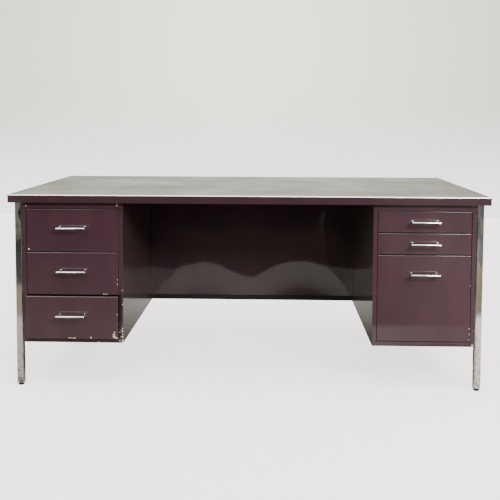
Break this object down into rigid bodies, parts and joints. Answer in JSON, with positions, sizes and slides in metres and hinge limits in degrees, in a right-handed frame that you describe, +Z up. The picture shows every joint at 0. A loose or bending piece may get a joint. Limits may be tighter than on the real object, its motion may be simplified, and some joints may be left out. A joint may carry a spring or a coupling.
{
  "type": "teacher desk",
  "caption": "Steel double-pedestal teacher's desk with laminate top, box and file drawers with bar pulls, modesty panel and square-tube legs on levelling glides",
  "frame": {"origin": "on the floor at the centre of the desk's overall box, pulls and standing-open drawer included", "axes": "+X along the desk to the sitter's right as seen from the drawer side, +Y from the drawers to the modesty panel, +Z up"},
  "size_m": [1.8288, 0.9506, 0.7461],
  "materials": {
    "enamel": "glossy aubergine-brown stove enamel",
    "tray_enamel": "satin brown enamel",
    "inner_steel": "satin brown enamel",
    "dark_rail": "dull dark enamel",
    "laminate": "satin grey decorative laminate",
    "chipboard": "raw chipboard",
    "chrome": "bright chrome plate",
    "zinc_steel": "zinc-plated steel",
    "white_nylon": "moulded natural nylon",
    "black_nylon": "moulded black nylon",
    "glide_rubber": "hard dark rubber"
  },
  "bodies": {
    "desk": {"channel_pads": "white_nylon", "file_cabinet_slides": "zinc_steel", "left_back": "enamel", "left_bottom": "enamel", "left_channels": "inner_steel", "left_fixing_strips": "inner_steel", "left_front_frame": "enamel", "left_inner_side": "enamel", "left_outer_side": "enamel", "leg_bolts": "zinc_steel", "leg_front_left": "chrome", "leg_front_right": "chrome", "leg_inserts": "black_nylon", "leg_rear_left": "chrome", "leg_rear_right": "chrome", "modesty_back": "enamel", "modesty_panel": "enamel", "modesty_rail": "dark_rail", "right_back": "enamel", "right_bottom": "enamel", "right_channels": "inner_steel", "right_fixing_strips": "inner_steel", "right_front_frame": "enamel", "right_inner_side": "enamel", "right_outer_side": "enamel", "top_core": "chipboard", "top_edge": "enamel", "top_fixing_screws": "zinc_steel", "top_laminate": "laminate", "top_underside": "enamel"},
    "left_drawer_1": {"left_drawer_1_front": "enamel", "left_drawer_1_pull": "chrome", "left_drawer_1_shoes": "white_nylon", "left_drawer_1_tray": "tray_enamel"},
    "left_drawer_2": {"left_drawer_2_front": "enamel", "left_drawer_2_pull": "chrome", "left_drawer_2_shoes": "white_nylon", "left_drawer_2_tray": "tray_enamel"},
    "left_drawer_3": {"left_drawer_3_front": "enamel", "left_drawer_3_pull": "chrome", "left_drawer_3_shoes": "white_nylon", "left_drawer_3_tray": "tray_enamel"},
    "right_drawer_1": {"right_drawer_1_front": "enamel", "right_drawer_1_pull": "chrome", "right_drawer_1_shoes": "white_nylon", "right_drawer_1_tray": "tray_enamel"},
    "right_drawer_2": {"right_drawer_2_front": "enamel", "right_drawer_2_pull": "chrome", "right_drawer_2_shoes": "white_nylon", "right_drawer_2_tray": "tray_enamel"},
    "file_drawer": {"file_drawer_front": "enamel", "file_drawer_pull": "chrome", "file_drawer_slides": "zinc_steel", "file_drawer_tray": "tray_enamel"},
    "file_middle_slides": {"file_middle_slides": "zinc_steel"},
    "glide_front_left": {"glide_front_left": "glide_rubber"},
    "glide_front_right": {"glide_front_right": "glide_rubber"},
    "glide_rear_left": {"glide_rear_left": "glide_rubber"},
    "glide_rear_right": {"glide_rear_right": "glide_rubber"}
  },
  "joints": [
    {"name": "left_drawer_1_slide", "type": "slide", "parent": "desk", "child": "left_drawer_1", "axis": [0, -1, 0], "range_m": [0, 0.4735]},
    {"name": "left_drawer_2_slide", "type": "slide", "parent": "desk", "child": "left_drawer_2", "axis": [0, -1, 0], "range_m": [0, 0.4735]},
    {"name": "left_drawer_3_slide", "type": "slide", "parent": "desk", "child": "left_drawer_3", "axis": [0, -1, 0], "range_m": [-0.017, 0.4565]},
    {"name": "right_drawer_1_slide", "type": "slide", "parent": "desk", "child": "right_drawer_1", "axis": [0, -1, 0], "range_m": [0, 0.4735]},
    {"name": "right_drawer_2_slide", "type": "slide", "parent": "desk", "child": "right_drawer_2", "axis": [0, -1, 0], "range_m": [0, 0.4735]},
    {"name": "file_drawer_slide", "type": "slide", "parent": "desk", "child": "file_drawer", "axis": [0, -1, 0], "range_m": [0, 0.5555]},
    {"name": "file_middle_slide", "type": "slide", "parent": "desk", "child": "file_middle_slides", "axis": [0, -1, 0], "range_m": [0, 0.27775]},
    {"name": "glide_front_left_height", "type": "slide", "parent": "desk", "child": "glide_front_left", "axis": [0, 0, -1], "range_m": [0, 0.015]},
    {"name": "glide_front_right_height", "type": "slide", "parent": "desk", "child": "glide_front_right", "axis": [0, 0, -1], "range_m": [0, 0.015]},
    {"name": "glide_rear_left_height", "type": "slide", "parent": "desk", "child": "glide_rear_left", "axis": [0, 0, -1], "range_m": [0, 0.015]},
    {"name": "glide_rear_right_height", "type": "slide", "parent": "desk", "child": "glide_rear_right", "axis": [0, 0, -1], "range_m": [0, 0.015]}
  ],
  "couplings": [
    {"joint": "file_middle_slide", "follows": "file_drawer_slide", "ratio": 0.5}
  ]
}
